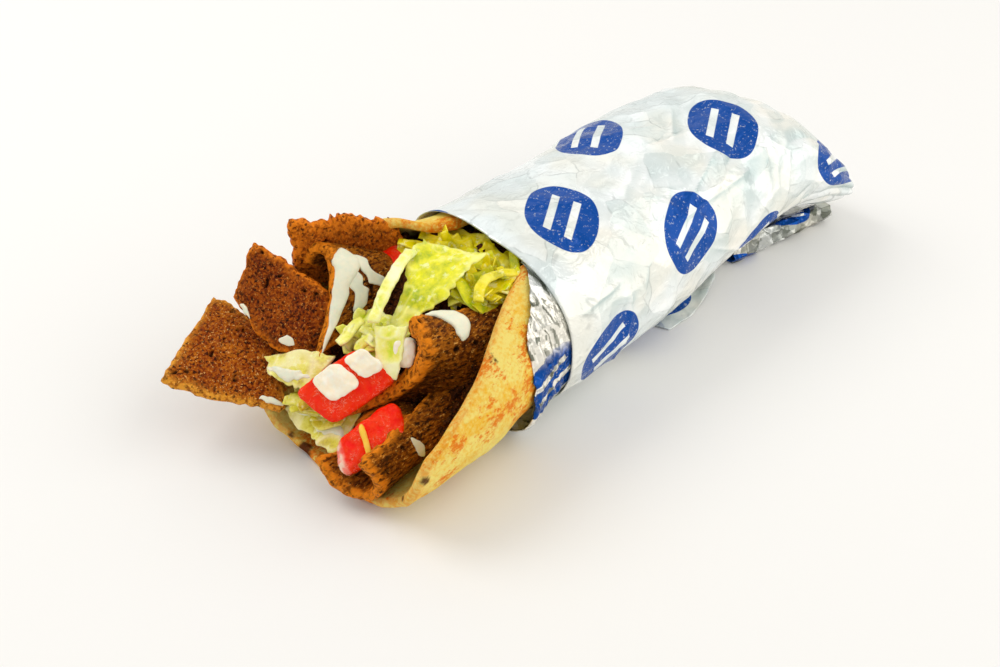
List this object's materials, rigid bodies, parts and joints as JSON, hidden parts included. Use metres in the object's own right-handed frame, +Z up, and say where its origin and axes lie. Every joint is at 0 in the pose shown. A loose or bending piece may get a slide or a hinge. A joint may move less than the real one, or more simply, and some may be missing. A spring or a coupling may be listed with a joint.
{
  "type": "doner kebab sandwich",
  "caption": "Doner kebab sandwich: flatbread filled with slices of doner meat, lettuce, tomato and onion, rolled in a sheet of printed foil with one end open.",
  "frame": {"origin": "on the table, under the middle of the whole sandwich's bounding box", "axes": "+X along the roll from its open mouth to its folded end, +Z up, +Y to the left of +X"},
  "size_m": [0.2376, 0.0974, 0.0601],
  "materials": {
    "foil": "crumpled satin foil with printed patches",
    "bread": "soft toasted flatbread with brown spots",
    "meat": "browned, speckled slice of pressed meat",
    "tomato": "wet cut flesh",
    "onion": "pale, wet, slightly clear",
    "cheese": "smooth shredded cheese",
    "lettuce": "crisp yellow-green leaf with a pale rib",
    "filling": "heap of chopped meat and shreds"
  },
  "bodies": {
    "root": {"foil_wrap": "foil", "pita_bread": "bread", "onion_piece_left": "onion", "onion_piece_right": "onion", "cheese_shred": "cheese", "onion_piece_inner": "onion", "tomato_wedge_upper": "tomato", "tomato_wedge_lower": "tomato", "tomato_piece_small": "tomato", "meat_slab_left": "meat", "meat_slab_middle": "meat", "meat_curl_sauced": "meat", "meat_curl_right": "meat", "meat_roll_front": "meat", "meat_fold_inner": "meat", "meat_slab_back": "meat", "lettuce_leaf_large": "lettuce", "lettuce_leaf_lower": "lettuce", "lettuce_leaf_back": "lettuce", "lettuce_leaf_small": "lettuce", "lettuce_leaf_pale": "lettuce", "lettuce_leaf_left": "lettuce", "lettuce_leaf_front": "lettuce", "lettuce_stalk": "lettuce", "lettuce_rib": "lettuce", "filling_heap": "filling"}
  },
  "joints": []
}
